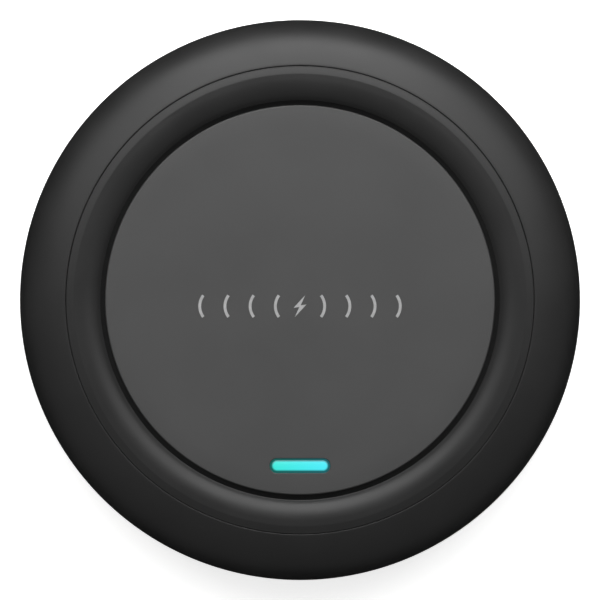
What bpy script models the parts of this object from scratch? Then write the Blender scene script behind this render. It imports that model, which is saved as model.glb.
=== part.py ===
"""Round desk charging pad for phones, modelled as the separate pieces it comes apart into.

Metres, +Z up. The origin is on the table under the pad's centre. +Y points to the back, where the
power socket is, and the status light is at the front, towards -Y.
"""

import math

import bmesh
import bpy
from mathutils import Matrix, Vector

# Clearances
GAP = 0.0003  # left between neighbouring pieces
SPACING = 0.0005  # looser room beside bosses and the board's rim
FULL_ROUND = 0.99  # share of half a bar's width that rounds its ends

# The pad's outline, from the outside in
PAD_RADIUS = 0.0500
RIM_HEIGHT = 0.0160  # the bezel's crest above the table
EQUATOR_HEIGHT = 0.0088  # where the shell is widest
OUTER_BAND = 0.0080  # the shell's width seen from above
SEAM_WIDTH = 0.0004
BEZEL_WIDTH = 0.0059
DISC_GAP = 0.0009
RIDGE_INSET = 0.0012  # the rim's ridge, in from the seam
RIDGE_LAND = 0.0008  # level top inside the ridge
CURVE_WIDTH = 0.0140  # half the width of the ellipse that the rim's outside follows
SEAM_ROUND = 0.0003  # rounding of the seam's two lips

# Outer shell
SHELL_WALL = 0.0020
FLANGE_DROP = 0.0025  # the flange's top, below the bezel's crest
FLANGE_THICKNESS = 0.0013
BOTTOM_LIP_WIDTH = 0.0013
BOTTOM_LIP_HEIGHT = 0.0022
BOSS_RADIUS = 0.0029
BOSS_HOLE_TIP = 0.0005  # room past the screw's end

# Inner bezel
BEZEL_FALL = 0.0030  # height of the ellipse that the fall to the disc follows
FALL_REACH = 0.0005  # that ellipse's width past the bore, so the fall ends short of upright
BEZEL_WALL = 0.0021
SHELF_WIDTH = 0.0020  # how far the shelf reaches in under the disc
SHELF_THICKNESS = 0.0015
HOOK_COUNT = 4
HOOK_REACH = 0.0012
HOOK_HEIGHT = 0.0010
HOOK_WIDTH = 0.0060

# Top disc and its adhesive ring
DISC_RECESS = 0.0019
DISC_THICKNESS = 0.0015
DISC_EDGE_ROUND = 0.0003
TAPE_THICKNESS = 0.0002
TAPE_WIDTH = 0.0014

# Status light
LIGHT_LENGTH = 0.0102
LIGHT_WIDTH = 0.0020
LIGHT_FROM_EDGE = 0.0052  # bar's centre line to the disc's edge
LIGHT_FLANGE = 0.0008  # the bar's flange, its thickness and its reach past the slot
LEG_LENGTH = 0.0094
LEG_WIDTH = 0.0015
SHROUD_WALL = 0.0008
LED_SIZE = Vector((0.0030, 0.0014, 0.0008))
LED_PITCH = 0.0052

# Base cover and its fasteners
FOOT_PROUD = 0.0007  # how far the foot ring lifts the base off the table
BASE_THICKNESS = 0.0018
BASE_BOSS_RADIUS = 0.0031
SCREW_COUNT = 4
SCREW_FIRST_ANGLE = math.radians(45)
HEAD_RADIUS = 0.0019
HEAD_HEIGHT = 0.0012
HEAD_ROUND = 0.0004
SHANK_RADIUS = 0.0010
SHANK_LENGTH = 0.0065
HEAD_SUNK = 0.0005  # base screw heads sit this far above the base's underside
SEAT_THICKNESS = 0.0014  # plastic clamped under a base screw's head
CROSS_WIDTH = 0.0005
CROSS_LENGTH = 0.0021
CROSS_DEPTH = 0.0007

# Foot ring and vents
FOOT_WIDTH = 0.0050
FOOT_DEPTH = 0.0003  # part of the foot ring's height that sits in its groove
FOOT_FROM_SCREWS = 0.0034  # foot ring's outer edge to the base screws' circle
FOOT_EDGE_ROUND = 0.0002
VENT_COUNT = 5
VENT_PITCH = 0.0030
VENT_LENGTH = 0.0200
VENT_WIDTH = 0.0014
VENT_CENTRE_Y = 0.0130

# Circuit board
STANDOFF_HEIGHT = 0.0011
STANDOFF_RADIUS = 0.0026
BOARD_THICKNESS = 0.0010
BOARD_SCREW_COUNT = 3
BOARD_SCREW_INSET = 0.0038  # screw centres in from the board's rim
BOARD_SHANK_LENGTH = 0.0030
BOARD_TAB_MARGIN = 0.0015  # board beyond the socket at each side
COMPONENT_BAND = 0.0122  # ring of board left free outside the coil carrier

# Power socket
SOCKET_WIDTH = 0.00894
SOCKET_HEIGHT = 0.00326
SOCKET_LENGTH = 0.00735
SOCKET_WALL = 0.0003
SOCKET_CORNER = 0.0013
SOCKET_RECESS = 0.0013  # the socket's mouth, in from the pad's widest line
INSERT_BLOCK_LENGTH = 0.0022
TONGUE_WIDTH = 0.0067
TONGUE_THICKNESS = 0.0007
TONGUE_RECESS = 0.0006

# Coil, ferrite and their carrier
WIRE_DIAMETER = 0.0009
WIRE_SPACING = 0.00028
COIL_HOLE_RADIUS = 0.01025
COIL_LEAD_ANGLE = math.radians(125)
LEAD_SET_IN = 0.0022  # the inner lead's drop, inside the first turn's centre line
LEAD_RUN = 0.0028  # the inner lead's drop, back along the first turn
LEAD_REACH = 0.0035  # the outer lead's run from the last turn to the rim
FERRITE_MARGIN = 0.0010  # ferrite beyond the coil
FERRITE_THICKNESS = 0.0010
FILM_THICKNESS = 0.0002
CARRIER_FLOOR = 0.0012
CARRIER_RIM = 0.0012
CARRIER_LEGS = 4
CARRIER_LEG_FIRST = math.radians(20)
CARRIER_LEG_RADIUS = 0.0015
LEAD_HOLE_RADIUS = 0.0016
LEAD_NOTCH_WIDTH = 0.0045
THERMISTOR_SIZE = Vector((0.0026, 0.0016, 0.0008))

# Board components, each size across the band, along it and up
INDUCTOR_SIZE = (0.0060, 0.0060, 0.0030)
INDUCTOR_ANGLE = math.radians(32)
INPUT_CAPACITOR_SIZE = (0.0043, 0.0073, 0.0029)
INPUT_CAPACITOR_ANGLE = math.radians(62)
CONTROLLER_SIZE = (0.0050, 0.0050, 0.0009)
CONTROLLER_ANGLE = math.radians(97)
RESONANCE_SIZE = (0.0032, 0.0045, 0.0025)
RESONANCE_COUNT = 4
RESONANCE_MIDDLE = math.radians(180)
RESONANCE_PITCH = 0.0062
TRANSISTOR_SIZE = (0.0060, 0.0050, 0.0010)
TRANSISTOR_COUNT = 2
TRANSISTOR_MIDDLE = math.radians(314)
TRANSISTOR_PITCH = 0.0066
CHIP_CHAMFER = 0.0001
INDUCTOR_CHAMFER = 0.0005

# Mesh resolution
RING_STEPS = 60
SMALL_STEPS = 20
COIL_STEPS = 20  # points in each turn

# Radii worked out from the outline
SEAM_OUTER = PAD_RADIUS - OUTER_BAND
SEAM_INNER = SEAM_OUTER - SEAM_WIDTH
RIDGE_RADIUS = SEAM_INNER - RIDGE_INSET
LAND_RADIUS = RIDGE_RADIUS - RIDGE_LAND
CURVE_CENTRE = PAD_RADIUS - CURVE_WIDTH
RIDGE_SHARE = (RIDGE_RADIUS - CURVE_CENTRE) / CURVE_WIDTH
CURVE_HEIGHT = (RIM_HEIGHT - EQUATOR_HEIGHT) / math.sqrt(1 - RIDGE_SHARE ** 2)
BEZEL_BORE = SEAM_INNER - BEZEL_WIDTH
DISC_RADIUS = BEZEL_BORE - DISC_GAP
SHELF_BORE = DISC_RADIUS - SHELF_WIDTH
SKIRT_RADIUS = BEZEL_BORE + BEZEL_WALL
FLANGE_BORE = SKIRT_RADIUS + GAP
SCREW_CIRCLE = FLANGE_BORE + GAP + BOSS_RADIUS
BASE_RADIUS = SCREW_CIRCLE + BASE_BOSS_RADIUS + SPACING
LIP_BORE = BASE_RADIUS + GAP
LIP_RADIUS = LIP_BORE + BOTTOM_LIP_WIDTH
INNER_EQUATOR = PAD_RADIUS - SHELL_WALL
BOARD_RADIUS = SCREW_CIRCLE - BASE_BOSS_RADIUS - SPACING
BOARD_SCREW_CIRCLE = BOARD_RADIUS - BOARD_SCREW_INSET
FOOT_RADIUS = SCREW_CIRCLE - FOOT_FROM_SCREWS
CARRIER_RADIUS = BOARD_RADIUS - COMPONENT_BAND
FERRITE_RADIUS = CARRIER_RADIUS - CARRIER_RIM - GAP
BAND_CENTRE = (CARRIER_RADIUS + SHELF_BORE) / 2
LIGHT_Y = LIGHT_FROM_EDGE - DISC_RADIUS

# Heights, from the table up
BASE_TOP = FOOT_PROUD + BASE_THICKNESS
LIP_TOP = FOOT_PROUD + BOTTOM_LIP_HEIGHT
BOARD_BOTTOM = BASE_TOP + STANDOFF_HEIGHT + GAP
BOARD_TOP = BOARD_BOTTOM + BOARD_THICKNESS
ON_BOARD = BOARD_TOP + GAP
HEAD_CEILING = FOOT_PROUD + HEAD_SUNK + HEAD_HEIGHT + GAP
BASE_BOSS_TOP = HEAD_CEILING + SEAT_THICKNESS
SHANK_TIP = HEAD_CEILING - GAP + SHANK_LENGTH

# Heights, from the rim down
FLANGE_TOP = RIM_HEIGHT - FLANGE_DROP
FLANGE_BOTTOM = FLANGE_TOP - FLANGE_THICKNESS
DISC_TOP = RIM_HEIGHT - DISC_RECESS
DISC_BOTTOM = DISC_TOP - DISC_THICKNESS
TAPE_TOP = DISC_BOTTOM - GAP
SHELF_TOP = TAPE_TOP - TAPE_THICKNESS - GAP
SHELF_BOTTOM = SHELF_TOP - SHELF_THICKNESS
COIL_TOP = DISC_BOTTOM - GAP
COIL_LEVEL = COIL_TOP - WIRE_DIAMETER / 2
FILM_TOP = COIL_TOP - WIRE_DIAMETER - GAP
FERRITE_TOP = FILM_TOP - FILM_THICKNESS - GAP
CARRIER_SEAT = FERRITE_TOP - FERRITE_THICKNESS - GAP
CARRIER_BOTTOM = CARRIER_SEAT - CARRIER_FLOOR

# Power socket's place
SOCKET_MOUTH = PAD_RADIUS - SOCKET_RECESS
SOCKET_BACK = SOCKET_MOUTH - SOCKET_LENGTH
SOCKET_LEVEL = ON_BOARD + SOCKET_HEIGHT / 2

# The coil takes as many turns as fit between its hole and the ferrite's margin
WIRE_PITCH = WIRE_DIAMETER + WIRE_SPACING
COIL_START = COIL_HOLE_RADIUS + WIRE_DIAMETER / 2
COIL_TURNS = math.floor((FERRITE_RADIUS - FERRITE_MARGIN - WIRE_DIAMETER / 2 - COIL_START) / WIRE_PITCH)
COIL_END = COIL_START + COIL_TURNS * WIRE_PITCH


def clear_scene():
    for existing in list(bpy.data.objects):
        bpy.data.objects.remove(existing, do_unlink=True)


def plain_material(name, colour, roughness, metallic=0.0):
    material = bpy.data.materials.new(name)
    material.use_nodes = True
    shader = material.node_tree.nodes["Principled BSDF"]
    shader.inputs["Base Color"].default_value = (*colour, 1.0)
    shader.inputs["Roughness"].default_value = roughness
    shader.inputs["Metallic"].default_value = metallic
    return material


def add_object(name, bm, material=None):
    """Turns a bmesh into an object under the pad's origin, with faces outward and round parts smooth."""
    bmesh.ops.recalc_face_normals(bm, faces=bm.faces)
    mesh = bpy.data.meshes.new(name)
    bm.to_mesh(mesh)
    bm.free()
    mesh.shade_smooth()
    mesh.set_sharp_from_angle(angle=math.radians(35))
    piece = bpy.data.objects.new(name, mesh)
    bpy.context.collection.objects.link(piece)
    piece.parent = pad_origin
    if material:
        mesh.materials.append(material)
    return piece


def hide_tool(tool):
    tool.hide_render = True
    tool.display_type = "WIRE"


def combine(piece, tool, operation):
    """Cuts a tool from a piece, or joins it on, with a live Boolean."""
    hide_tool(tool)
    boolean = piece.modifiers.new(tool.name, "BOOLEAN")
    boolean.operation = operation
    boolean.solver = "EXACT"
    boolean.object = tool


def cut(piece, tool):
    combine(piece, tool, "DIFFERENCE")


def join(piece, tool):
    combine(piece, tool, "UNION")


def polar(radius, angle, height=0.0):
    return Vector((radius * math.cos(angle), radius * math.sin(angle), height))


def around(count, first_angle=0.0):
    """Evenly spaced angles round the pad."""
    return [first_angle + index * math.tau / count for index in range(count)]


def arc(centre, radii, start, end, steps):
    """Points of an elliptical arc in a (radius, height) outline, both ends included."""
    points = []
    for index in range(steps + 1):
        angle = math.radians(start + (end - start) * index / steps)
        points.append((centre[0] + radii[0] * math.cos(angle), centre[1] + radii[1] * math.sin(angle)))
    return points


def turned(name, outline, material=None, steps=RING_STEPS, closed=True, place=(0.0, 0.0, 0.0)):
    """Spins a (radius, height) outline about Z. An open outline starts and ends on the axis."""
    bm = bmesh.new()
    verts = [bm.verts.new((radius, 0.0, height)) for radius, height in outline]
    edges = [bm.edges.new(pair) for pair in zip(verts, verts[1:])]
    if closed:
        edges.append(bm.edges.new((verts[-1], verts[0])))
    bmesh.ops.spin(
        bm, geom=verts + edges, axis=(0, 0, 1), cent=(0, 0, 0), angle=math.tau, steps=steps, use_merge=True
    )
    bmesh.ops.remove_doubles(bm, verts=bm.verts, dist=0.000001)
    piece = add_object(name, bm, material)
    piece.location = place
    return piece


def rod(name, radius, bottom, top, place=(0.0, 0.0), material=None, steps=SMALL_STEPS):
    """An upright cylinder between two heights."""
    bm = bmesh.new()
    bmesh.ops.create_cone(
        bm, cap_ends=True, segments=steps, radius1=radius, radius2=radius, depth=top - bottom
    )
    piece = add_object(name, bm, material)
    piece.location = (place[0], place[1], (bottom + top) / 2)
    return piece


def block(name, size, centre, material=None, corner=0.0, along="Z", corner_steps=5, edge=0.0):
    """A box whose four edges along one axis are rounded, and whose remaining edges may be chamfered."""
    bm = bmesh.new()
    bmesh.ops.create_cube(bm, size=1.0, matrix=Matrix.Diagonal((*size, 1.0)))
    if corner:
        axis = "XYZ".index(along)
        rounded = []
        for bar in bm.edges:
            run = bar.verts[0].co - bar.verts[1].co
            if abs(run[axis]) > size[axis] / 2:
                rounded.append(bar)
        bmesh.ops.bevel(
            bm, geom=rounded, offset=corner, segments=corner_steps, profile=0.5, affect="EDGES", material=-1
        )
    if edge:
        bmesh.ops.bevel(
            bm, geom=list(bm.edges), offset=edge, segments=1, profile=0.5, affect="EDGES", material=-1
        )
    piece = add_object(name, bm, material)
    piece.location = centre
    return piece


def prism(name, outline, bottom, top, material=None):
    """Extrudes a flat (x, y) outline upwards."""
    bm = bmesh.new()
    floor = bm.faces.new([bm.verts.new((x, y, bottom)) for x, y in outline])
    walls = bmesh.ops.extrude_face_region(bm, geom=[floor])
    raised = [item for item in walls["geom"] if isinstance(item, bmesh.types.BMVert)]
    bmesh.ops.translate(bm, verts=raised, vec=(0, 0, top - bottom))
    return add_object(name, bm, material)


def smooth_route(points, steps):
    """Catmull-Rom points through a route; both ends are kept."""
    padded = [2 * points[0] - points[1], *points, 2 * points[-1] - points[-2]]
    route = []
    for before, start, end, after in zip(padded, padded[1:], padded[2:], padded[3:]):
        for index in range(steps):
            t = index / steps
            straight = 2 * start + (end - before) * t
            bend = (2 * before - 5 * start + 4 * end - after) * t ** 2
            twist = (3 * start - before - 3 * end + after) * t ** 3
            route.append((straight + bend + twist) / 2)
    route.append(points[-1])
    return route


def rim_curve(start_radius, end_radius, steps):
    """Points of the rim's outer curve, one ellipse from the ridge out to the widest line."""
    start = math.degrees(math.acos((start_radius - CURVE_CENTRE) / CURVE_WIDTH))
    end = math.degrees(math.acos((end_radius - CURVE_CENTRE) / CURVE_WIDTH))
    return arc((CURVE_CENTRE, EQUATOR_HEIGHT), (CURVE_WIDTH, CURVE_HEIGHT), start, end, steps)


def seam_lip(radius, inward):
    """The rounded lip at one side of the seam, from the seam's wall up to the rim's curve."""
    centre_radius = radius - inward * SEAM_ROUND
    top = rim_curve(centre_radius, PAD_RADIUS, 1)[0][1]
    lip = arc((centre_radius, top - SEAM_ROUND), (SEAM_ROUND, SEAM_ROUND), 0, 90, 3)[:-1]
    return [(centre_radius + inward * (point[0] - centre_radius), point[1]) for point in lip]


def hollow_radius(height):
    """The shell's inside radius at a height between its bottom lip and its widest line."""
    drop = (EQUATOR_HEIGHT - height) / (EQUATOR_HEIGHT - LIP_TOP)
    return LIP_RADIUS + (INNER_EQUATOR - LIP_RADIUS) * math.sqrt(1 - drop ** 2)


def make_outer_shell(material):
    """The rounded outer ring: a hollow wall with an inner flange, four screw bosses and the socket's slot."""
    inner_height = CURVE_HEIGHT - SHELL_WALL
    ceiling_angle = math.degrees(math.asin((FLANGE_BOTTOM - EQUATOR_HEIGHT) / inner_height))
    outline = [(FLANGE_BORE, FLANGE_BOTTOM), (FLANGE_BORE, FLANGE_TOP), (SEAM_OUTER, FLANGE_TOP)]
    outline += seam_lip(SEAM_OUTER, -1)
    outline += rim_curve(SEAM_OUTER + SEAM_ROUND, PAD_RADIUS, 8)
    underside = (PAD_RADIUS - LIP_RADIUS, EQUATOR_HEIGHT - FOOT_PROUD)
    outline += arc((LIP_RADIUS, EQUATOR_HEIGHT), underside, 0, -90, 4)[1:]
    outline += [(LIP_BORE, FOOT_PROUD), (LIP_BORE, LIP_TOP)]
    hollow = (INNER_EQUATOR - LIP_RADIUS, EQUATOR_HEIGHT - LIP_TOP)
    outline += arc((LIP_RADIUS, EQUATOR_HEIGHT), hollow, -90, 0, 2)
    ceiling = (CURVE_WIDTH - SHELL_WALL, inner_height)
    outline += arc((CURVE_CENTRE, EQUATOR_HEIGHT), ceiling, 0, ceiling_angle, 3)[1:]
    shell = turned("outer_shell", outline, material)
    for index, angle in enumerate(around(SCREW_COUNT, SCREW_FIRST_ANGLE), 1):
        place = polar(SCREW_CIRCLE, angle)
        boss_top = (FLANGE_BOTTOM + FLANGE_TOP) / 2
        join(shell, rod(f"shell_boss_{index}", BOSS_RADIUS, BASE_BOSS_TOP + GAP, boss_top, place))
        hole_bottom = BASE_BOSS_TOP - GAP
        hole_top = SHANK_TIP + BOSS_HOLE_TIP
        cut(shell, rod(f"shell_hole_{index}", SHANK_RADIUS + GAP, hole_bottom, hole_top, place))
    slot_size = (SOCKET_WIDTH + 2 * GAP, SOCKET_LENGTH * 2, SOCKET_HEIGHT + 2 * GAP)
    slot_centre = (0.0, SOCKET_BACK - GAP + SOCKET_LENGTH, SOCKET_LEVEL)
    cut(shell, block("socket_slot", slot_size, slot_centre, corner=SOCKET_CORNER + GAP, along="Y"))
    return shell


def make_inner_bezel(material):
    """The ring round the disc: a level land, then a soft fall inward; its skirt carries the disc's shelf."""
    foot = FLANGE_TOP + GAP
    fall = (LAND_RADIUS - BEZEL_BORE + FALL_REACH, BEZEL_FALL)
    fall_end = math.degrees(math.acos((BEZEL_BORE - LAND_RADIUS) / fall[0]))
    outline = [(SEAM_INNER, foot)]
    outline += seam_lip(SEAM_INNER, 1)
    outline += rim_curve(SEAM_INNER - SEAM_ROUND, RIDGE_RADIUS, 1)
    outline += arc((LAND_RADIUS, RIM_HEIGHT - BEZEL_FALL), fall, 90, fall_end, 7)
    outline += [(BEZEL_BORE, SHELF_TOP), (SHELF_BORE, SHELF_TOP), (SHELF_BORE, SHELF_BOTTOM)]
    outline += [(SKIRT_RADIUS, SHELF_BOTTOM), (SKIRT_RADIUS, foot)]
    bezel = turned("inner_bezel", outline, material)
    hook_top = FLANGE_BOTTOM - GAP
    hook_inside = SKIRT_RADIUS - BEZEL_WALL / 2
    hook_outside = SKIRT_RADIUS + HOOK_REACH
    for index, angle in enumerate(around(HOOK_COUNT), 1):
        size = (hook_outside - hook_inside, HOOK_WIDTH, HOOK_HEIGHT)
        centre = polar((hook_inside + hook_outside) / 2, angle, hook_top - HOOK_HEIGHT / 2)
        hook = block(f"bezel_hook_{index}", size, centre)
        hook.rotation_euler.z = angle
        join(bezel, hook)
    return bezel


def make_top_disc(material):
    """The flat charging surface, with a slot for the status light."""
    outline = [(0.0, DISC_BOTTOM), (DISC_RADIUS, DISC_BOTTOM)]
    edge_centre = (DISC_RADIUS - DISC_EDGE_ROUND, DISC_TOP - DISC_EDGE_ROUND)
    outline += arc(edge_centre, (DISC_EDGE_ROUND, DISC_EDGE_ROUND), 0, 90, 2)
    outline.append((0.0, DISC_TOP))
    disc = turned("top_disc", outline, material, closed=False)
    slot_width = LIGHT_WIDTH + 2 * GAP
    size = (LIGHT_LENGTH + 2 * GAP, slot_width, DISC_THICKNESS * 2)
    centre = (0.0, LIGHT_Y, (DISC_BOTTOM + DISC_TOP) / 2)
    cut(disc, block("light_slot", size, centre, corner=slot_width / 2 * FULL_ROUND))
    return disc


def make_disc_tape(material):
    """The double-sided adhesive ring between the disc and the bezel's shelf."""
    outer = DISC_RADIUS - GAP
    inner = outer - TAPE_WIDTH
    bottom = TAPE_TOP - TAPE_THICKNESS
    outline = [(inner, bottom), (outer, bottom), (outer, TAPE_TOP), (inner, TAPE_TOP)]
    return turned("disc_tape_ring", outline, material)


def make_light_bar(material):
    """The clear bar that fills the disc's slot, with a flange that stops it and a leg down to the lamps."""
    head_bottom = DISC_BOTTOM - GAP - LIGHT_FLANGE / 2
    head_size = (LIGHT_LENGTH, LIGHT_WIDTH, DISC_TOP - head_bottom)
    head_centre = (0.0, LIGHT_Y, (DISC_TOP + head_bottom) / 2)
    bar = block("light_bar", head_size, head_centre, material, corner=LIGHT_WIDTH / 2 * FULL_ROUND)
    flange_size = (LIGHT_LENGTH + 2 * LIGHT_FLANGE, LIGHT_WIDTH + 2 * LIGHT_FLANGE, LIGHT_FLANGE)
    flange_centre = (0.0, LIGHT_Y, DISC_BOTTOM - GAP - LIGHT_FLANGE / 2)
    join(bar, block("light_flange", flange_size, flange_centre))
    leg_bottom = ON_BOARD + LED_SIZE.z + GAP
    leg_top = DISC_BOTTOM - GAP - LIGHT_FLANGE / 4
    leg_size = (LEG_LENGTH, LEG_WIDTH, leg_top - leg_bottom)
    join(bar, block("light_leg", leg_size, (0.0, LIGHT_Y, (leg_bottom + leg_top) / 2)))
    return bar


def make_light_shroud(material):
    """The opaque sleeve that keeps the lamps' light inside the bar's leg."""
    bottom = ON_BOARD
    top = DISC_BOTTOM - 2 * GAP - LIGHT_FLANGE
    centre = (0.0, LIGHT_Y, (bottom + top) / 2)
    bore = (LEG_LENGTH + 2 * GAP, LEG_WIDTH + 2 * GAP)
    shroud_size = (bore[0] + 2 * SHROUD_WALL, bore[1] + 2 * SHROUD_WALL, top - bottom)
    shroud = block("light_shroud", shroud_size, centre, material)
    cut(shroud, block("shroud_bore", (*bore, 2 * (top - bottom)), centre))
    return shroud


def make_base_cover(material):
    """The bottom plate: foot groove, screw bosses, board posts and vent slots."""
    groove_top = FOOT_PROUD + FOOT_DEPTH + GAP
    groove_outer = FOOT_RADIUS + GAP
    groove_inner = FOOT_RADIUS - FOOT_WIDTH - GAP
    outline = [(0.0, FOOT_PROUD), (groove_inner, FOOT_PROUD), (groove_inner, groove_top)]
    outline += [(groove_outer, groove_top), (groove_outer, FOOT_PROUD), (BASE_RADIUS, FOOT_PROUD)]
    outline += [(BASE_RADIUS, BASE_TOP), (0.0, BASE_TOP)]
    base = turned("base_cover", outline, material, closed=False)
    plate_middle = (groove_top + BASE_TOP) / 2
    for index, angle in enumerate(around(SCREW_COUNT, SCREW_FIRST_ANGLE), 1):
        place = polar(SCREW_CIRCLE, angle)
        join(base, rod(f"base_boss_{index}", BASE_BOSS_RADIUS, plate_middle, BASE_BOSS_TOP, place))
        cut(base, rod(f"counterbore_{index}", HEAD_RADIUS + GAP, 0.0, HEAD_CEILING, place))
        cut(base, rod(f"base_hole_{index}", SHANK_RADIUS + GAP, 0.0, BASE_BOSS_TOP + GAP, place))
    post_top = BASE_TOP + STANDOFF_HEIGHT
    hole_bottom = ON_BOARD - BOARD_SHANK_LENGTH - GAP
    for index, angle in enumerate(around(BOARD_SCREW_COUNT), 1):
        place = polar(BOARD_SCREW_CIRCLE, angle)
        join(base, rod(f"board_post_{index}", STANDOFF_RADIUS, plate_middle, post_top, place))
        cut(base, rod(f"post_hole_{index}", SHANK_RADIUS + GAP, hole_bottom, post_top + GAP, place))
    for index in range(VENT_COUNT):
        across = (index - (VENT_COUNT - 1) / 2) * VENT_PITCH
        size = (VENT_LENGTH, VENT_WIDTH, BASE_THICKNESS * 2)
        centre = (0.0, VENT_CENTRE_Y + across, (FOOT_PROUD + BASE_TOP) / 2)
        corner = VENT_WIDTH / 2 * FULL_ROUND
        cut(base, block(f"vent_{index + 1}", size, centre, corner=corner, corner_steps=3))
    return base


def make_foot_ring(material):
    """The anti-slip ring that the pad stands on."""
    inner = FOOT_RADIUS - FOOT_WIDTH
    top = FOOT_PROUD + FOOT_DEPTH
    outline = [(inner, top), (inner, FOOT_EDGE_ROUND), (inner + FOOT_EDGE_ROUND, 0.0)]
    outline += [(FOOT_RADIUS - FOOT_EDGE_ROUND, 0.0), (FOOT_RADIUS, FOOT_EDGE_ROUND), (FOOT_RADIUS, top)]
    return turned("anti_slip_ring", outline, material)


def make_screw(name, material, shank_length, head_plane, place, head_up):
    """A pan-head screw with a cross recess. head_plane is the height its head clamps on."""
    outline = [(0.0, -shank_length), (SHANK_RADIUS, -shank_length), (SHANK_RADIUS, 0.0)]
    outline.append((HEAD_RADIUS, 0.0))
    round_centre = (HEAD_RADIUS - HEAD_ROUND, HEAD_HEIGHT - HEAD_ROUND)
    outline += arc(round_centre, (HEAD_ROUND, HEAD_ROUND), 0, 90, 2)
    outline.append((0.0, HEAD_HEIGHT))
    screw = turned(name, outline, material, steps=SMALL_STEPS, closed=False)
    turn = Matrix.Identity(4) if head_up else Matrix.Rotation(math.pi, 4, "X")
    screw.matrix_local = Matrix.Translation((place[0], place[1], head_plane)) @ turn
    for index, quarter in enumerate((0.0, math.pi / 2), 1):
        size = (CROSS_LENGTH, CROSS_WIDTH, CROSS_DEPTH * 2)
        bar = block(f"{name}_cross_{index}", size, (0.0, 0.0, 0.0))
        bar.matrix_local = screw.matrix_local @ Matrix.Translation((0, 0, HEAD_HEIGHT))
        bar.matrix_local = bar.matrix_local @ Matrix.Rotation(quarter, 4, "Z")
        cut(screw, bar)
    return screw


def make_base_screws(material):
    for index, angle in enumerate(around(SCREW_COUNT, SCREW_FIRST_ANGLE), 1):
        place = polar(SCREW_CIRCLE, angle)
        make_screw(f"base_screw_{index}", material, SHANK_LENGTH, HEAD_CEILING - GAP, place, False)


def make_board_screws(material):
    for index, angle in enumerate(around(BOARD_SCREW_COUNT), 1):
        place = polar(BOARD_SCREW_CIRCLE, angle)
        make_screw(f"board_screw_{index}", material, BOARD_SHANK_LENGTH, ON_BOARD, place, True)


def make_circuit_board(material):
    """A round board with a tab at the back for the socket, held by three screws."""
    tab_half = SOCKET_WIDTH / 2 + BOARD_TAB_MARGIN
    tab_end = math.sqrt((hollow_radius(BOARD_BOTTOM) - SPACING) ** 2 - tab_half ** 2)
    tab_angle = math.asin(tab_half / BOARD_RADIUS)
    start = math.degrees(math.pi / 2 + tab_angle)
    end = math.degrees(math.pi / 2 - tab_angle) + 360
    outline = arc((0.0, 0.0), (BOARD_RADIUS, BOARD_RADIUS), start, end, RING_STEPS)
    outline += [(tab_half, tab_end), (-tab_half, tab_end)]
    board = prism("circuit_board", outline, BOARD_BOTTOM, BOARD_TOP, material)
    for index, angle in enumerate(around(BOARD_SCREW_COUNT), 1):
        place = polar(BOARD_SCREW_CIRCLE, angle)
        hole = rod(f"board_hole_{index}", SHANK_RADIUS + GAP, BOARD_BOTTOM - GAP, BOARD_TOP + GAP, place)
        cut(board, hole)
    return board


def make_socket(shell_material, insert_material):
    """The power socket: a drawn metal shell open to the back, and the moulded insert with its tongue."""
    size = (SOCKET_WIDTH, SOCKET_LENGTH, SOCKET_HEIGHT)
    centre = (0.0, (SOCKET_MOUTH + SOCKET_BACK) / 2, SOCKET_LEVEL)
    shell = block("usb_socket_shell", size, centre, shell_material, corner=SOCKET_CORNER, along="Y")
    bore_width = SOCKET_WIDTH - 2 * SOCKET_WALL
    bore_height = SOCKET_HEIGHT - 2 * SOCKET_WALL
    bore_back = SOCKET_BACK + SOCKET_WALL
    bore_size = (bore_width, 2 * (SOCKET_MOUTH - bore_back), bore_height)
    bore_corner = SOCKET_CORNER - SOCKET_WALL
    bore = block("socket_bore", bore_size, (0.0, SOCKET_MOUTH, SOCKET_LEVEL), corner=bore_corner, along="Y")
    cut(shell, bore)
    block_back = bore_back + GAP
    block_size = (bore_width - 2 * GAP, INSERT_BLOCK_LENGTH, bore_height - 2 * GAP)
    block_centre = (0.0, block_back + INSERT_BLOCK_LENGTH / 2, SOCKET_LEVEL)
    insert = block("usb_socket_insert", block_size, block_centre, insert_material)
    tongue_back = block_back + INSERT_BLOCK_LENGTH / 2
    tongue_front = SOCKET_MOUTH - TONGUE_RECESS
    tongue_size = (TONGUE_WIDTH, tongue_front - tongue_back, TONGUE_THICKNESS)
    join(insert, block("socket_tongue", tongue_size, (0.0, (tongue_back + tongue_front) / 2, SOCKET_LEVEL)))
    return shell, insert


def inner_lead_place():
    """Where the coil's inner lead drops through the ferrite."""
    return polar(COIL_START - LEAD_SET_IN, COIL_LEAD_ANGLE - LEAD_RUN / COIL_START)


def outer_lead_angle():
    """Where the coil's outer lead crosses the carrier's rim."""
    return COIL_LEAD_ANGLE + COIL_TURNS * math.tau + LEAD_REACH / COIL_END


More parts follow.
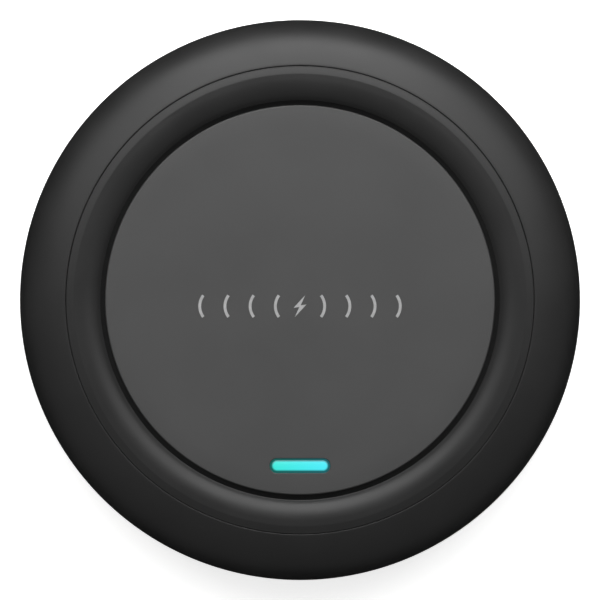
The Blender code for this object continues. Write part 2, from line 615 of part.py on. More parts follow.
def make_coil_carrier(material):
    """The tray that holds the ferrite and the coil up against the disc, standing on the board."""
    rim_top = DISC_BOTTOM - GAP
    rim_bore = CARRIER_RADIUS - CARRIER_RIM
    outline = [(0.0, CARRIER_BOTTOM), (CARRIER_RADIUS, CARRIER_BOTTOM), (CARRIER_RADIUS, rim_top)]
    outline += [(rim_bore, rim_top), (rim_bore, CARRIER_SEAT), (0.0, CARRIER_SEAT)]
    carrier = turned("coil_carrier", outline, material, closed=False)
    leg_top = (CARRIER_BOTTOM + CARRIER_SEAT) / 2
    leg_circle = CARRIER_RADIUS - 2 * CARRIER_LEG_RADIUS
    for index, angle in enumerate(around(CARRIER_LEGS, CARRIER_LEG_FIRST), 1):
        place = polar(leg_circle, angle)
        join(carrier, rod(f"carrier_leg_{index}", CARRIER_LEG_RADIUS, ON_BOARD, leg_top, place))
    lead_hole = rod("carrier_lead_hole", LEAD_HOLE_RADIUS, ON_BOARD, FERRITE_TOP, inner_lead_place())
    cut(carrier, lead_hole)
    notch_bottom = FERRITE_TOP + GAP / 2
    notch_size = (4 * CARRIER_RIM, LEAD_NOTCH_WIDTH, 2 * (rim_top - notch_bottom))
    notch = block("carrier_notch", notch_size, polar(CARRIER_RADIUS, outer_lead_angle(), rim_top))
    notch.rotation_euler.z = outer_lead_angle()
    cut(carrier, notch)
    return carrier


def make_ferrite(material):
    """The sintered ferrite disc under the coil."""
    ferrite = rod(
        "ferrite_sheet", FERRITE_RADIUS, FERRITE_TOP - FERRITE_THICKNESS, FERRITE_TOP,
        material=material, steps=RING_STEPS,
    )
    cut(ferrite, rod("ferrite_hole", LEAD_HOLE_RADIUS, CARRIER_SEAT, FILM_TOP, inner_lead_place()))
    return ferrite


def make_coil_film(material):
    """The insulating adhesive film that the coil is laid on."""
    film = rod(
        "coil_film", COIL_END + WIRE_DIAMETER, FILM_TOP - FILM_THICKNESS, FILM_TOP,
        material=material, steps=RING_STEPS,
    )
    cut(film, rod("film_hole", LEAD_HOLE_RADIUS, FERRITE_TOP, COIL_TOP, inner_lead_place()))
    return film


def coil_route():
    """The wire's centre line: up from the board, round the turns, over the rim and down to the board."""
    drop = inner_lead_place()
    start = polar(COIL_START, COIL_LEAD_ANGLE, COIL_LEVEL)
    before = polar(COIL_START - WIRE_SPACING, COIL_LEAD_ANGLE - LEAD_RUN / COIL_START / 2, COIL_LEVEL)
    rise = [
        Vector((drop.x, drop.y, ON_BOARD)),
        Vector((drop.x, drop.y, (ON_BOARD + COIL_LEVEL) / 2)),
        Vector((drop.x, drop.y, COIL_LEVEL - WIRE_DIAMETER)),
        before,
        start,
    ]
    turns = []
    for index in range(1, COIL_TURNS * COIL_STEPS):
        share = index / COIL_STEPS
        turns.append(polar(COIL_START + WIRE_PITCH * share, COIL_LEAD_ANGLE + math.tau * share, COIL_LEVEL))
    last_angle = COIL_LEAD_ANGLE + COIL_TURNS * math.tau
    cross_angle = outer_lead_angle()
    fall_radius = CARRIER_RADIUS + GAP + WIRE_DIAMETER
    fall = [
        polar(COIL_END, last_angle, COIL_LEVEL),
        polar(COIL_END + WIRE_DIAMETER, (last_angle + cross_angle) / 2, COIL_LEVEL),
        polar(CARRIER_RADIUS - CARRIER_RIM, cross_angle, COIL_LEVEL),
        polar(fall_radius, cross_angle, COIL_LEVEL - WIRE_DIAMETER),
        polar(fall_radius, cross_angle, (ON_BOARD + COIL_LEVEL) / 2),
        polar(fall_radius, cross_angle, ON_BOARD),
    ]
    return smooth_route(rise, 3)[:-1] + [start] + turns + smooth_route(fall, 3)


def make_coil(material):
    """The flat spiral of stranded wire, one closed tube with its two leads."""
    route = coil_route()
    wire = bpy.data.curves.new("transmitter_coil", "CURVE")
    wire.dimensions = "3D"
    wire.bevel_depth = WIRE_DIAMETER / 2
    wire.bevel_resolution = 1
    wire.use_fill_caps = True
    spline = wire.splines.new("POLY")
    spline.points.add(len(route) - 1)
    for point, place in zip(spline.points, route):
        point.co = (*place, 1.0)
    coil = bpy.data.objects.new("transmitter_coil", wire)
    bpy.context.collection.objects.link(coil)
    coil.parent = pad_origin
    wire.materials.append(material)
    return coil


def on_band(name, size, angle, material, edge=CHIP_CHAMFER):
    """A board component in the free ring outside the coil carrier, square to the pad's centre."""
    component = block(name, size, polar(BAND_CENTRE, angle, ON_BOARD + size[2] / 2), material, edge=edge)
    component.rotation_euler.z = angle
    return component


def row_angles(count, middle, pitch):
    """Angles of a row of components spaced by an arc length round the component band."""
    return [middle + (index - (count - 1) / 2) * pitch / BAND_CENTRE for index in range(count)]


def make_components(moulding, ceramic):
    """The charger's electronics, on the board's upper side."""
    on_band("power_inductor", INDUCTOR_SIZE, INDUCTOR_ANGLE, ceramic, edge=INDUCTOR_CHAMFER)
    on_band("input_capacitor", INPUT_CAPACITOR_SIZE, INPUT_CAPACITOR_ANGLE, moulding)
    on_band("controller_chip", CONTROLLER_SIZE, CONTROLLER_ANGLE, moulding)
    resonance_angles = row_angles(RESONANCE_COUNT, RESONANCE_MIDDLE, RESONANCE_PITCH)
    for index, angle in enumerate(resonance_angles, 1):
        on_band(f"resonance_capacitor_{index}", RESONANCE_SIZE, angle, ceramic)
    transistor_angles = row_angles(TRANSISTOR_COUNT, TRANSISTOR_MIDDLE, TRANSISTOR_PITCH)
    for index, angle in enumerate(transistor_angles, 1):
        on_band(f"bridge_transistor_{index}", TRANSISTOR_SIZE, angle, moulding)


def make_lamps(material):
    for index, side in enumerate((-1, 1), 1):
        centre = (side * LED_PITCH / 2, LIGHT_Y, ON_BOARD + LED_SIZE.z / 2)
        block(f"status_led_{index}", LED_SIZE, centre, material, edge=CHIP_CHAMFER)


def make_thermistor(material):
    """The temperature sensor in the middle of the coil."""
    level = FILM_TOP + GAP + THERMISTOR_SIZE.z / 2
    block("thermistor", THERMISTOR_SIZE, (0.0, 0.0, level), material, edge=CHIP_CHAMFER)


clear_scene()
pad_origin = bpy.data.objects.new("pad_origin", None)
bpy.context.collection.objects.link(pad_origin)

black_abs = plain_material("black_abs", (0.020, 0.020, 0.021), 0.42)
charcoal_abs = plain_material("charcoal_abs", (0.075, 0.075, 0.076), 0.55)
base_abs = plain_material("base_abs", (0.018, 0.018, 0.019), 0.60)
clear_acrylic = plain_material("clear_acrylic", (0.05, 0.85, 0.88), 0.20)
silicone = plain_material("silicone", (0.030, 0.030, 0.031), 0.85)
zinc_steel = plain_material("zinc_steel", (0.60, 0.60, 0.62), 0.35, 1.0)
board_green = plain_material("board_green", (0.010, 0.090, 0.045), 0.40)
nickel_steel = plain_material("nickel_steel", (0.72, 0.71, 0.68), 0.28, 1.0)
black_nylon = plain_material("black_nylon", (0.025, 0.025, 0.026), 0.50)
white_nylon = plain_material("white_nylon", (0.75, 0.75, 0.72), 0.50)
grey_ferrite = plain_material("grey_ferrite", (0.045, 0.044, 0.043), 0.60)
adhesive_film = plain_material("adhesive_film", (0.70, 0.62, 0.40), 0.35)
copper_litz = plain_material("copper_litz", (0.72, 0.32, 0.14), 0.40, 1.0)
chip_moulding = plain_material("chip_moulding", (0.022, 0.022, 0.024), 0.60)
component_ceramic = plain_material("component_ceramic", (0.36, 0.27, 0.18), 0.50)
lamp_body = plain_material("lamp_body", (0.85, 0.83, 0.70), 0.40)

make_outer_shell(black_abs)
make_inner_bezel(black_abs)
make_top_disc(charcoal_abs)
make_disc_tape(adhesive_film)
make_light_bar(clear_acrylic)
make_light_shroud(black_nylon)
make_base_cover(base_abs)
make_foot_ring(silicone)
make_base_screws(zinc_steel)
make_board_screws(zinc_steel)
make_circuit_board(board_green)
make_socket(nickel_steel, black_nylon)
make_coil_carrier(white_nylon)
make_ferrite(grey_ferrite)
make_coil_film(adhesive_film)
make_coil(copper_litz)
make_components(chip_moulding, component_ceramic)
make_lamps(lamp_body)
make_thermistor(chip_moulding)
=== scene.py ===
"""Looks of a round desk charging pad: fine outer skins, socket details, finishes, floor, light and camera.

Metres, +Z up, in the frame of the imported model. +Y is the back, where the power socket is, and the
status light is at the front, towards -Y.
"""

import math

import bmesh
import bpy
from mathutils import Matrix, Vector


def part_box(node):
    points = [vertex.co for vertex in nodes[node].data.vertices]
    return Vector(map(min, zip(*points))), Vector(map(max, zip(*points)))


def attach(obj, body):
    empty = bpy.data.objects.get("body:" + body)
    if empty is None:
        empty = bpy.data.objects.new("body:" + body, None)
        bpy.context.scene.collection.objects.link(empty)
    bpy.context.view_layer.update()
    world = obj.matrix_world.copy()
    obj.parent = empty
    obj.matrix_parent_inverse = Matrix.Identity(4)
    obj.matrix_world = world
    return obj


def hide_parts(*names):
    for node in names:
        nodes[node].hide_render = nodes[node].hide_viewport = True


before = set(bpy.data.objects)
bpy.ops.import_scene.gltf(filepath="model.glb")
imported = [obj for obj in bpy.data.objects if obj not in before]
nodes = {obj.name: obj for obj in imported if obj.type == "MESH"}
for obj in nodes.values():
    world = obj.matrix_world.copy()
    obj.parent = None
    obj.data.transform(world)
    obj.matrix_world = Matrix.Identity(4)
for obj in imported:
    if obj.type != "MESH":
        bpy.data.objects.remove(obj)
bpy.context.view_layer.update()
MM = 0.001
MERGE_DISTANCE = 0.0005 * MM
PIECE_GAP = 0.3 * MM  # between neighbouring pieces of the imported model
CUT_OVERRUN = 0.5 * MM  # how far a cutter or a joined boss runs past the face it meets

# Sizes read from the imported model
SHELL_LOW, SHELL_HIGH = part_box("outer_shell")
BEZEL_LOW, BEZEL_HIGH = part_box("inner_bezel")
DISC_LOW, DISC_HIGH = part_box("top_disc")
LENS_LOW, LENS_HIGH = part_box("light_bar")
BASE_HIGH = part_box("base_cover")[1]
FOOT_LOW, FOOT_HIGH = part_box("anti_slip_ring")
SOCKET_LOW, SOCKET_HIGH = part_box("usb_socket_shell")
INSERT_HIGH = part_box("usb_socket_insert")[1]

# The rim's section
PAD_RADIUS = SHELL_HIGH.x
RIM_HEIGHT = BEZEL_HIGH.z
UNDERSIDE = SHELL_LOW.z
RIDGE_RADIUS = BEZEL_HIGH.x - 1.2 * MM
SEAM_RADIUS = BEZEL_HIGH.x + 0.2 * MM
SEAM_SLIT = 0.05 * MM
SEAM_INNER = SEAM_RADIUS - SEAM_SLIT / 2
SEAM_OUTER = SEAM_RADIUS + SEAM_SLIT / 2
SEAM_ROUND = 0.14 * MM
LAND_RADIUS = RIDGE_RADIUS - 0.8 * MM
EQUATOR_HEIGHT = 8.8 * MM
CURVE_WIDTH = 14.0 * MM
CURVE_CENTRE = PAD_RADIUS - CURVE_WIDTH
RIDGE_SHARE = (RIDGE_RADIUS - CURVE_CENTRE) / CURVE_WIDTH
CURVE_HEIGHT = (RIM_HEIGHT - EQUATOR_HEIGHT) / math.sqrt(1 - RIDGE_SHARE ** 2)
RIDGE_STEEPNESS = CURVE_HEIGHT / CURVE_WIDTH * RIDGE_SHARE / math.sqrt(1 - RIDGE_SHARE ** 2)
RIDGE_SLOPE = math.degrees(math.atan(RIDGE_STEEPNESS))
RIDGE_ROUND = 1.2 * MM
SHELL_WALL = 2.0 * MM
FLANGE_TOP = RIM_HEIGHT - 2.5 * MM
FLANGE_BOTTOM = FLANGE_TOP - 1.3 * MM
FLANGE_BORE = 38.1 * MM
LIP_HEIGHT = 2.2 * MM
LIP_WIDTH = 1.3 * MM
LIP_BORE = BASE_HIGH.x + PIECE_GAP
BEZEL_FALL = 3.0 * MM
FALL_REACH = 0.5 * MM
BEZEL_BORE = DISC_HIGH.x + 0.9 * MM
BORE_ROUND = 0.12 * MM
SKIRT_RADIUS = FLANGE_BORE - PIECE_GAP
SHELF_TOP = DISC_LOW.z - 0.8 * MM
SHELF_BORE = DISC_HIGH.x - 2.0 * MM

# Disc and status light
DISC_EDGE = 0.3 * MM
LENS_FLANGE = 0.8 * MM
LENS_LENGTH = LENS_HIGH.x - LENS_LOW.x - 2 * LENS_FLANGE
LENS_WIDTH = LENS_HIGH.y - LENS_LOW.y - 2 * LENS_FLANGE
LENS_Y = (LENS_LOW.y + LENS_HIGH.y) / 2
LENS_GAP = PIECE_GAP
GLOW_CORE = 0.58 * MM
GLOW_LEVEL = 0.90
GLOW_RIM = 0.13
LEG_LENGTH = 9.4 * MM
LEG_WIDTH = 1.5 * MM

# Base cover
BASE_THICKNESS = 1.8 * MM
FOOT_WIDTH = 5.0 * MM
BOSS_RADIUS = 3.1 * MM
SCREW_BORE = 1.3 * MM
COUNTERBORE_DEPTH = 2.0 * MM
SCREW_CIRCLE = 41.3 * MM
SCREW_ANGLES = [math.radians(45 + 90 * index) for index in range(4)]
COUNTERBORE = 2.2 * MM
GROOVE_TOP = FOOT_HIGH.z + PIECE_GAP
VENT_COUNT = 5
VENT_PITCH = 3.0 * MM
VENT_LENGTH = 20.0 * MM
VENT_WIDTH = 1.4 * MM
VENT_Y = 13.0 * MM
LABEL_SIZE = (30.0 * MM, 15.0 * MM)
LABEL_DEPTH = 0.25 * MM
LABEL_MARGIN = 0.5 * MM
LABEL_THICKNESS = 0.12 * MM
LABEL_CORNER = 1.2 * MM
RECESS_CORNER = 1.5 * MM
LABEL_Y = -12.0 * MM

# Power socket
SOCKET_LEVEL = (SOCKET_LOW.z + SOCKET_HIGH.z) / 2
SOCKET_WIDTH = SOCKET_HIGH.x - SOCKET_LOW.x
SOCKET_HEIGHT = SOCKET_HIGH.z - SOCKET_LOW.z
SLOT_GAP = PIECE_GAP
SLOT_FLARE = 0.15 * MM
FLARE_DEPTH = 0.9 * MM
SHEET_METAL = 0.3 * MM
TONGUE_THICKNESS = 0.7 * MM
CONTACT_COUNT = 12
CONTACT_PITCH = 0.5 * MM
CONTACT_SIZE = (0.28 * MM, 3.2 * MM, 0.04 * MM)

# Printed mark on the disc
INK_HEIGHT = 0.03 * MM
INK_STROKE = 0.50 * MM
MARK_Y = -1.1 * MM
WAVE_COUNT = 4
WAVE_RADIUS = 3.2 * MM
WAVE_HALF_ANGLE = 37
FIRST_WAVE = 4.4 * MM
WAVE_PITCH = 4.5 * MM

RING_STEPS = 240
FRAMED_WIDTH = 107.1 * MM

# The table: wide enough for a low camera, and clear of the feet by a hair so that the faces don't coincide
FLOOR_SIDE = 6.0
FLOOR_DEPTH = 0.1
FLOOR_CLEARANCE = 0.02 * MM

# Studio lights: azimuth and elevation in degrees, distance, width and height in metres, watts
STUDIO_LIGHTS = (
    ("back_softbox", 90, 48, 0.36, 0.24, 0.24, 0.90),
    ("left_back_softbox", 135, 48, 0.36, 0.24, 0.24, 0.48),
    ("right_back_softbox", 45, 48, 0.36, 0.24, 0.24, 0.46),
    ("back_strip", 90, 30, 0.30, 0.34, 0.06, 0.36),
    ("right_back_strip", 60, 28, 0.30, 0.34, 0.06, 0.10),
    ("left_back_strip", 120, 28, 0.30, 0.34, 0.06, 0.06),
)
AMBIENT = 0.42
TABLE_GLOW = 0.62


def linear(hex_colour):
    """An sRGB hex colour as linear red, green, blue and alpha."""
    channels = []
    for start in (1, 3, 5):
        value = int(hex_colour[start:start + 2], 16) / 255
        channels.append(value / 12.92 if value <= 0.04045 else ((value + 0.055) / 1.055) ** 2.4)
    return (*channels, 1.0)


def polar(radius, angle, height=0.0):
    """The place at a radius and an angle about Z."""
    return Vector((radius * math.cos(angle), radius * math.sin(angle), height))


def arc(centre, radii, start, end, steps):
    """Points of an elliptical arc in a (radius, height) outline, both ends included."""
    points = []
    for index in range(steps + 1):
        angle = math.radians(start + (end - start) * index / steps)
        points.append((centre[0] + radii[0] * math.cos(angle), centre[1] + radii[1] * math.sin(angle)))
    return points


def corner(place, radius, start, end, steps=4):
    """A rounded outline corner: its centre, its radius and the two angles it turns between."""
    return arc(place, (radius, radius), start, end, steps)


# Building pieces


def smooth_round(mesh, sharp=32):
    """Shades a mesh smooth, with edges over the given angle left sharp."""
    mesh.shade_smooth()
    mesh.set_sharp_from_angle(angle=math.radians(sharp))


def add_piece(name, bm, node=None):
    """Makes a finished piece of a bmesh, riding on the pad and standing for a CAD node where one is named."""
    bmesh.ops.remove_doubles(bm, verts=bm.verts, dist=MERGE_DISTANCE)
    bmesh.ops.recalc_face_normals(bm, faces=bm.faces)
    mesh = bpy.data.meshes.new(name)
    bm.to_mesh(mesh)
    bm.free()
    smooth_round(mesh)
    piece = bpy.data.objects.new(name, mesh)
    bpy.context.scene.collection.objects.link(piece)
    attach(piece, "root")
    if node:
        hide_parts(node)
    return piece


def turned(outline, steps=RING_STEPS, closed=True, place=(0.0, 0.0, 0.0)):
    """Spins a (radius, height) outline about Z. An open outline starts and ends on the axis."""
    bm = bmesh.new()
    verts = [bm.verts.new((radius, 0.0, height)) for radius, height in outline]
    edges = [bm.edges.new(pair) for pair in zip(verts, verts[1:])]
    if closed:
        edges.append(bm.edges.new((verts[-1], verts[0])))
    bmesh.ops.spin(
        bm, geom=verts + edges, axis=(0, 0, 1), cent=(0, 0, 0), angle=math.tau, steps=steps, use_merge=True
    )
    bmesh.ops.remove_doubles(bm, verts=bm.verts, dist=MERGE_DISTANCE)
    bmesh.ops.translate(bm, verts=bm.verts, vec=place)
    return bm


def lofted_bar(length, width, layers, turn, steps=12):
    """A round-ended bar lofted through (height, growth) layers, then turned into its place."""
    bm = bmesh.new()
    half_step = Matrix.Rotation(math.pi / (4 * steps), 4, "Z")
    bmesh.ops.create_circle(bm, cap_ends=True, segments=4 * steps, radius=width / 2, matrix=half_step)
    for vert in bm.verts:
        vert.co.x += math.copysign((length - width) / 2, vert.co.x)
    bm.faces.ensure_lookup_table()
    end_face = bm.faces[0]
    level = 0.0
    grown = 0.0
    for index, (height, growth) in enumerate(layers):
        if index:
            last_face = end_face
            region = bmesh.ops.extrude_face_region(bm, geom=[last_face])
            end_face = next(item for item in region["geom"] if isinstance(item, bmesh.types.BMFace))
            if index > 1:
                bmesh.ops.delete(bm, geom=[last_face], context="FACES_ONLY")
        verts = list(end_face.verts)
        widen_x = (length + 2 * growth) / (length + 2 * grown)
        widen_y = (width + 2 * growth) / (width + 2 * grown)
        bmesh.ops.scale(bm, vec=(widen_x, widen_y, 1), verts=verts)
        bmesh.ops.translate(bm, verts=verts, vec=(0, 0, height - level))
        level = height
        grown = growth
    bmesh.ops.transform(bm, matrix=turn, verts=bm.verts)
    return bm


def append_bm(target, source):
    """Adds one bmesh's faces to another."""
    mesh = bpy.data.meshes.new("passing")
    source.to_mesh(mesh)
    source.free()
    target.from_mesh(mesh)
    bpy.data.meshes.remove(mesh)


def carve(piece, tool_bm, operation="DIFFERENCE"):
    """Cuts a tool from a piece, or joins it on, for good."""
    bmesh.ops.recalc_face_normals(tool_bm, faces=tool_bm.faces)
    mesh = bpy.data.meshes.new("carving_tool")
    tool_bm.to_mesh(mesh)
    tool_bm.free()
    tool = bpy.data.objects.new("carving_tool", mesh)
    bpy.context.scene.collection.objects.link(tool)
    boolean = piece.modifiers.new("carving", "BOOLEAN")
    boolean.operation = operation
    boolean.solver = "EXACT"
    boolean.object = tool
    depsgraph = bpy.context.evaluated_depsgraph_get()
    whole = piece.data
    piece.data = bpy.data.meshes.new_from_object(piece.evaluated_get(depsgraph))
    piece.modifiers.clear()
    bpy.data.objects.remove(tool)
    bpy.data.meshes.remove(mesh)
    bpy.data.meshes.remove(whole)
    smooth_round(piece.data)


def upright(x, y):
    """Stands a bar's layers along Z at a place on the pad."""
    return Matrix.Translation((x, y, 0.0))


def facing_back():
    """Turns a bar so that its layers run along +Y, level with the power socket."""
    return Matrix.Translation((0.0, 0.0, SOCKET_LEVEL)) @ Matrix.Rotation(-math.pi / 2, 4, "X")


# Rim and disc


def rim_curve(start_radius, end_radius, steps):
    """The rim's outer curve, one ellipse from the ridge out to the widest line."""
    start = math.degrees(math.acos((start_radius - CURVE_CENTRE) / CURVE_WIDTH))
    end = math.degrees(math.acos((end_radius - CURVE_CENTRE) / CURVE_WIDTH))
    return arc((CURVE_CENTRE, EQUATOR_HEIGHT), (CURVE_WIDTH, CURVE_HEIGHT), start, end, steps)


def seam_lip(radius, inward):
    """The rounded lip at one side of the seam, from the seam's wall up to the rim's curve."""
    centre_radius = radius - inward * SEAM_ROUND
    top = rim_curve(centre_radius, PAD_RADIUS, 1)[0][1]
    lip = corner((centre_radius, top - SEAM_ROUND), SEAM_ROUND, 0, 84, 6)
    return [(centre_radius + inward * (point[0] - centre_radius), point[1]) for point in lip]


def make_rim_shell():
    """The outer ring with its true hollow section and the flared slot for the power socket."""
    lip_top = UNDERSIDE + LIP_HEIGHT
    lip_radius = LIP_BORE + LIP_WIDTH
    inner_equator = PAD_RADIUS - SHELL_WALL
    inner_height = CURVE_HEIGHT - SHELL_WALL
    ceiling_angle = math.degrees(math.asin((FLANGE_BOTTOM - EQUATOR_HEIGHT) / inner_height))
    outline = [(FLANGE_BORE, FLANGE_BOTTOM), (FLANGE_BORE, FLANGE_TOP), (SEAM_OUTER, FLANGE_TOP)]
    outline += seam_lip(SEAM_OUTER, -1)
    outline += rim_curve(SEAM_OUTER + SEAM_ROUND, PAD_RADIUS, 40)
    underside = (PAD_RADIUS - lip_radius, EQUATOR_HEIGHT - UNDERSIDE)
    outline += arc((lip_radius, EQUATOR_HEIGHT), underside, 0, -90, 18)[1:]
    outline += [(LIP_BORE, UNDERSIDE), (LIP_BORE, lip_top)]
    hollow = (inner_equator - lip_radius, EQUATOR_HEIGHT - lip_top)
    outline += arc((lip_radius, EQUATOR_HEIGHT), hollow, -90, 0, 6)
    ceiling = (CURVE_WIDTH - SHELL_WALL, inner_height)
    outline += arc((CURVE_CENTRE, EQUATOR_HEIGHT), ceiling, 0, ceiling_angle, 14)[1:]
    shell = add_piece("rim_shell", turned(outline), "outer_shell")
    length = SOCKET_WIDTH + 2 * SLOT_GAP
    width = SOCKET_HEIGHT + 2 * SLOT_GAP
    flare_start = PAD_RADIUS - FLARE_DEPTH
    flare_end = PAD_RADIUS + 2 * CUT_OVERRUN
    layers = [(SOCKET_LOW.y - SLOT_GAP, 0.0), (flare_start, 0.0), (flare_end, 2 * SLOT_FLARE)]
    carve(shell, lofted_bar(length, width, layers, facing_back()))
    return shell


def make_bezel_ring():
    """The ring between seam and disc: an eased ridge, a level land, a soft fall and the disc's shelf."""
    foot = FLANGE_TOP + PIECE_GAP
    fall = (LAND_RADIUS - BEZEL_BORE + FALL_REACH, BEZEL_FALL)
    fall_end = math.degrees(math.acos((BEZEL_BORE + BORE_ROUND - LAND_RADIUS) / fall[0]))
    ease = RIDGE_ROUND * math.tan(math.radians(RIDGE_SLOPE) / 2)
    outline = [(SEAM_INNER, foot)]
    outline += seam_lip(SEAM_INNER, 1)
    outline += rim_curve(SEAM_INNER - SEAM_ROUND, RIDGE_RADIUS + ease, 6)
    outline += corner((RIDGE_RADIUS - ease, RIM_HEIGHT - RIDGE_ROUND), RIDGE_ROUND, 90 - RIDGE_SLOPE, 90)[1:]
    outline += arc((LAND_RADIUS, RIM_HEIGHT - BEZEL_FALL), fall, 90, fall_end, 32)
    outline += corner((BEZEL_BORE + BORE_ROUND, outline[-1][1] - BORE_ROUND), BORE_ROUND, 140, 180)
    outline += [(BEZEL_BORE, SHELF_TOP), (SHELF_BORE, SHELF_TOP), (SHELF_BORE, BEZEL_LOW.z)]
    outline += [(SKIRT_RADIUS, BEZEL_LOW.z), (SKIRT_RADIUS, foot)]
    return add_piece("bezel_ring", turned(outline), "inner_bezel")


def make_charging_disc():
    """The flat disc, with a rounded edge and a slot whose rim is eased."""
    outline = [(0.0, DISC_LOW.z), (DISC_HIGH.x, DISC_LOW.z)]
    outline += corner((DISC_HIGH.x - DISC_EDGE, DISC_HIGH.z - DISC_EDGE), DISC_EDGE, 0, 90, 6)
    outline += [(DISC_HIGH.x * share, DISC_HIGH.z) for share in (0.9, 0.6, 0.3, 0.0)]
    disc = add_piece("charging_disc", turned(outline, closed=False), "top_disc")
    easing = 0.12 * MM
    layers = [
        (DISC_LOW.z - 2 * CUT_OVERRUN, 0.0),
        (DISC_HIGH.z - easing, 0.0),
        (DISC_HIGH.z + easing, 2 * easing),
    ]
    size = (LENS_LENGTH + 2 * LENS_GAP, LENS_WIDTH + 2 * LENS_GAP)
    carve(disc, lofted_bar(*size, layers, upright(0.0, LENS_Y)))
    return disc


def make_status_lens():
    """The lit bar: a leg from the lamps, a stop flange and a head with an eased top."""
    flange_bottom = DISC_LOW.z - PIECE_GAP - LENS_FLANGE
    easing = 0.15 * MM
    leg_layers = [(LENS_LOW.z, 0.0), (flange_bottom + LENS_FLANGE / 2, 0.0)]
    lens_bm = lofted_bar(
        LENS_LENGTH, LENS_WIDTH,
        [
            (flange_bottom, LENS_FLANGE),
            (flange_bottom + LENS_FLANGE, LENS_FLANGE),
            (flange_bottom + LENS_FLANGE, 0.0),
            (LENS_HIGH.z - easing, 0.0),
            (LENS_HIGH.z - easing / 3, -easing / 3),
            (LENS_HIGH.z, -easing),
        ],
        upright(0.0, LENS_Y),
    )
    lens = add_piece("status_lens", lens_bm, "light_bar")
    carve(lens, lofted_bar(LEG_LENGTH, LEG_WIDTH, leg_layers, upright(0.0, LENS_Y)), "UNION")
    return lens


def ink_arc(centre_x, side):
    """One arc of the printed mark, bowed away from the middle."""
    radius = WAVE_RADIUS
    sweep = math.radians(WAVE_HALF_ANGLE)
    bm = bmesh.new()
    section = Matrix.Rotation(-sweep, 4, "Z") @ Matrix.Translation((radius, 0.0, 0.0))
    section = section @ Matrix.Rotation(math.pi / 2, 4, "X")
    section = section @ Matrix.Diagonal((INK_STROKE, INK_HEIGHT, 1.0, 1.0))
    bmesh.ops.create_grid(bm, x_segments=1, y_segments=1, size=0.5, matrix=section)
    bmesh.ops.spin(bm, geom=list(bm.faces), axis=(0, 0, 1), cent=(0, 0, 0), angle=2 * sweep, steps=24)
    place = Matrix.Translation((centre_x - side * radius, MARK_Y, DISC_HIGH.z + INK_HEIGHT / 2))
    turn = Matrix.Rotation(0.0 if side > 0 else math.pi, 4, "Z")
    bmesh.ops.transform(bm, matrix=place @ turn, verts=bm.verts)
    return bm


def make_printed_mark():
    """A plain charging sign: a bolt between two rows of waves, printed as a raised film of ink."""
    bm = bmesh.new()
    half = 1.95 * MM
    lean = 0.35 * MM
    reach = 1.15 * MM
    waist = 0.30 * MM
    bolt = [
        (lean + reach / 2, half), (-reach, -waist), (-lean / 3, -waist / 2),
        (-lean - reach / 2, -half), (reach, waist), (lean / 3, waist / 2),
    ]
    base = bm.faces.new([bm.verts.new((x, MARK_Y + y, DISC_HIGH.z)) for x, y in bolt])
    region = bmesh.ops.extrude_face_region(bm, geom=[base])
    raised = [item for item in region["geom"] if isinstance(item, bmesh.types.BMVert)]
    bmesh.ops.translate(bm, verts=raised, vec=(0, 0, INK_HEIGHT))
    for side in (-1, 1):
        for index in range(WAVE_COUNT):
            append_bm(bm, ink_arc(side * (FIRST_WAVE + WAVE_PITCH * index), side))
    return add_piece("printed_mark", bm)


# Underside


